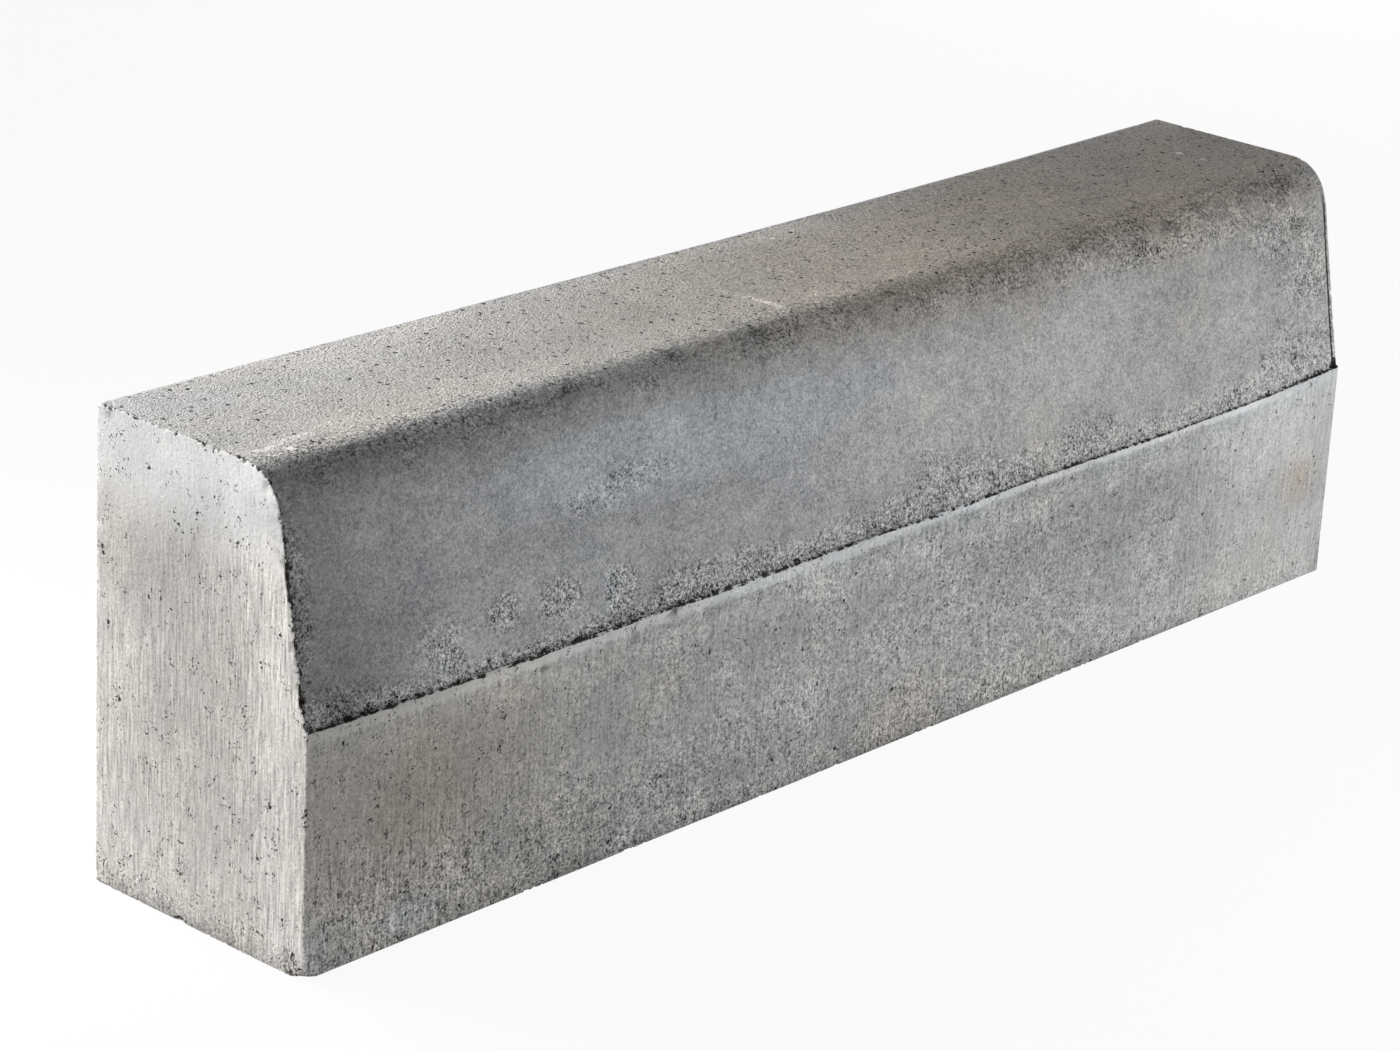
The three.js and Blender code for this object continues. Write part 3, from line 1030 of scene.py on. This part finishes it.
# The pale lip that the head squeezes out over the lower front, with a ragged lower border. Its paleness is
# partly painted light that the lip catches from above, and a brighter painted highlight runs along its top
# edge, below the ledge, over part of the length.
towards_far = fade(along_here, -60.0, 100.0)
lip_line = total((climb_here,), (broad_streaks, 2.0), (streaks, 1.0), (clots, 0.8), (towards_far, -2.0))
lip = total((fade(lip_line, -10.5, -7.0), front_here))
ridge_length = total((towards_far, fade(along_here, 425.0, 385.0)))
lip_highlight = total((lip, ridge_length, fade(total((climb_here,), (clots, 0.8)), -6.5, -3.5)))

# Specks of five sizes, the gaps between grains where the skin lies open, and the pits: in clusters on the
# mould's walls, and singly on the top, where other spots are pale grains. The gaps and pits are painted dark
# further on, as painted shade inside them.
smoother = total((1.0,), (top_here, -0.7), (walls_here, -0.45))
grit = total(
    (fine, 1.7), (coarse, 1.0), (clots, smoother, 0.55), (patches, smoother, 0.42), (clouds, smoother, 0.25)
)
rougher = total((1.0,), (clouds, walls_here, 0.5), (lip, -0.5))
gap = fade(total((gaps, 0.8), (clots, 0.4), (open_here,)), 0.8, 1.15)
clustered = total((fade(total((bunches,), (open_here, 0.6)), 0.5, 0.67), walls_here))
kept_share = total((clustered, 0.85), (top_here, 0.5), (top_here, towards_far, 0.12))
kept = fade(spot_chance, kept_share, total((kept_share, 0.3)))
pale_kept = total((calc(mix, "GREATER_THAN", spot_chance, 0.55), top_here))
wall_specks = total((fade(specks, 0.42, 0.62), clustered))
top_specks = total((fade(total((specks,), (clots, 0.3)), 0.75, 1.0), top_here))
pits = calc(mix, "MINIMUM", total((spots, kept), (wall_specks,), (top_specks,)), 1.0)


def away_from(x, climb):
    """How far the skin is from a point given by x and climb, in millimetres along it."""
    on_skin = add(mix, "CombineXYZ", {0: along_here, 1: climb_here}).outputs[0]
    return add(mix, "VectorMath", {0: on_skin, 1: (x, climb, 0)}, operation="DISTANCE").outputs["Value"]


def white_grain(x, climb, radius):
    """A white grain with a ragged border: 1 on it and 0 elsewhere."""
    return fade(total((away_from(x, climb),), (coarse, 0.5)), radius + 0.5, radius - 0.3)


# A few white grains lie open on the top, as (x, climb, radius) in millimetres.
WHITE_GRAINS = [(-467.5, 165.5, 2.7), (439.5, 226, 2.8), (441, 206, 1.4), (-14.5, 172, 1.8), (55, 271, 1.6)]
white_grains = total(*((white_grain(*grain_place),) for grain_place in WHITE_GRAINS))
# A grain of iron ore has stained the lower front by the +X end.
rust = fade(total((away_from(463, -77),), (clots, 3.5), (patches, 5.0)), 22.0, 3.0)

# Paleness: the large change carried by the mesh, then clouds, specks and rubbed marks, then painted shade in
# dents, pits, gaps, rubbed dashes and at the rims, and the seam's painted shadow.
rubbed = total((rub_here,), (rub_here, lip, -0.7))
rub_share = total((rubbed, 0.34))
change = total(
    (1.0,),
    (clouds, 0.08),
    (grit, grain_here, rougher),
    (streaks, rub_share),
    (broad_streaks, rubbed, 0.12),
    (lip, carried("lip_paste_and_light")),
    (lip_highlight, 0.38),
    (white_grains, 0.9),
    (torn_here, 0.1),
    (grains, torn_here, 0.15),
    (spots, pale_kept, 0.2),
    (spot_rings, kept, 0.1),
)
# Painted shade: dents, pits, gaps between grains, dashes in the open skin and the rims' broken spots are
# darkened as if shadowed.
recess_shade = total((hollow, 0.6), (pits, 0.92), (gap, 0.52), (rim_shade, 0.9), (dashes, rub_here, open_here, 1.9))
recess_shade = calc(mix, "MINIMUM", recess_shade, 0.9)
paleness = total((pale_here, change, inverse(recess_shade), inverse(total((seam, 0.95)))))

# Warm concrete has more red and less blue than its paleness. The top is also a little rosy.
warmth = total((carried("warm"),), (clots, 0.06), (patches, 0.08), (clouds, 0.2), (hollow, 0.6), (rust, 1.1))
rosy = total((top_here, towards_far, 0.014), (top_here, wide_clouds, 0.014))
red = total((paleness,), (paleness, warmth, 0.05), (paleness, front_here, -0.008), (paleness, rosy))
blue = total((paleness,), (paleness, warmth, -0.065), (paleness, front_here, -0.012), (paleness, rosy, 0.6))
colour = add(mix, "CombineColor", {0: red, 1: paleness, 2: blue}).outputs[0]

# Relief in millimetres, and the sheen: the rubbed walls are a little closer than the head's skin.
relief = total(
    (fine, 0.05),
    (coarse, 0.09),
    (coarse, torn_here, 0.16),
    (grains, torn_here, 0.15),
    (coarse, top_here, 0.14),
    (fine, top_here, 0.32),
    (streaks, rub_share, 0.6),
    (pits, -1.2),
    (gap, -0.4),
    (seam, -0.5),
)
bump = add(mix, "Bump", {"Height": relief, "Distance": MM, "Strength": 1.0})
roughness = total((0.88,), (coarse, 0.04), (torn_here, 0.04), (lip, -0.06))
shader = mix.nodes["Principled BSDF"]
shader.inputs["Specular IOR Level"].default_value = 0.25
mix.links.new(colour, shader.inputs["Base Color"])
mix.links.new(roughness, shader.inputs["Roughness"])
mix.links.new(bump.outputs[0], shader.inputs["Normal"])
cast.materials.clear()
cast.materials.append(concrete)

# ------------------------------
# Floor: a plain pale sheet, white to the camera, with the stone's shadow kept on it.
# ------------------------------

FLOOR_HALF = 12
FLOOR_GLOW = 0.93
floor_mesh = bpy.data.meshes.new("floor")
floor_corners = [(x * FLOOR_HALF, y * FLOOR_HALF, 0) for x, y in ((-1, -1), (1, -1), (1, 1), (-1, 1))]
floor_mesh.from_pydata(floor_corners, [], [(0, 1, 2, 3)])
floor = bpy.data.objects.new("floor", floor_mesh)
scene.collection.objects.link(floor)
paper = bpy.data.materials.new("pale floor")
paper.use_nodes = True
sheet = paper.node_tree
diffuse = sheet.nodes["Principled BSDF"]
diffuse.inputs["Base Color"].default_value = (0.8, 0.8, 0.8, 1)
diffuse.inputs["Roughness"].default_value = 1
diffuse.inputs["Specular IOR Level"].default_value = 0
glow = add(sheet, "Emission").outputs[0]
glow_share = calc(sheet, "MULTIPLY", add(sheet, "LightPath").outputs["Is Camera Ray"], FLOOR_GLOW)
seen = add(sheet, "MixShader", {0: glow_share, 1: diffuse.outputs[0], 2: glow}).outputs[0]
sheet.links.new(seen, sheet.nodes["Material Output"].inputs["Surface"])
floor_mesh.materials.append(paper)

# ------------------------------
# Light: an even pale surround, white to the camera and dim to the stone, and four soft lamps.
# ------------------------------

world = bpy.data.worlds.new("surround")
scene.world = world
world.use_nodes = True
sky = world.node_tree
background = sky.nodes["Background"]
background.inputs["Color"].default_value = (1, 1, 1, 1)
by_camera = add(sky, "LightPath").outputs["Is Camera Ray"]
brightness = add(sky, "MapRange", {"Value": by_camera, "To Min": 0.2, "To Max": 1.0})
sky.links.new(brightness.outputs["Result"], background.inputs["Strength"])


def soft_lamp(name, place, size, power, aim):
    """A square lamp of the given size and power, turned to face a point."""
    data = bpy.data.lights.new(name, "AREA")
    data.size = size
    data.energy = power
    lamp = bpy.data.objects.new(name, data)
    lamp.location = place
    lamp.rotation_euler = (Vector(aim) - Vector(place)).to_track_quat("-Z", "Y").to_euler()
    lamp.visible_camera = False
    scene.collection.objects.link(lamp)


soft_lamp("key", (-0.7, 0.6, 0.7), 0.6, 10.6, (-0.5, 0, 0.2))
soft_lamp("side", (-1.2, 0.2, 0.5), 0.8, 2.3, (0, 0, 0.15))
soft_lamp("front", (0.45, -0.9, 0.25), 1.0, 6.6, (0.15, 0, 0.15))
soft_lamp("back fill", (2.4, 1.0, 0.6), 1.2, 13.0, (0.4, 0, 0.15))

# ------------------------------
# Camera: a long lens, level with a standing person's chest, a little off upright.
# ------------------------------

lens = bpy.data.cameras.new("camera")
lens.sensor_width = 36
lens.lens = 112.494
lens.clip_end = 50
camera = bpy.data.objects.new("camera", lens)
camera.location = (-2.0312, -1.7197, 1.1210)
camera.rotation_euler = [math.radians(angle) for angle in (69.4917, -2.9052, -47.5449)]
scene.collection.objects.link(camera)
scene.camera = camera
scene.view_settings.view_transform = "Standard"
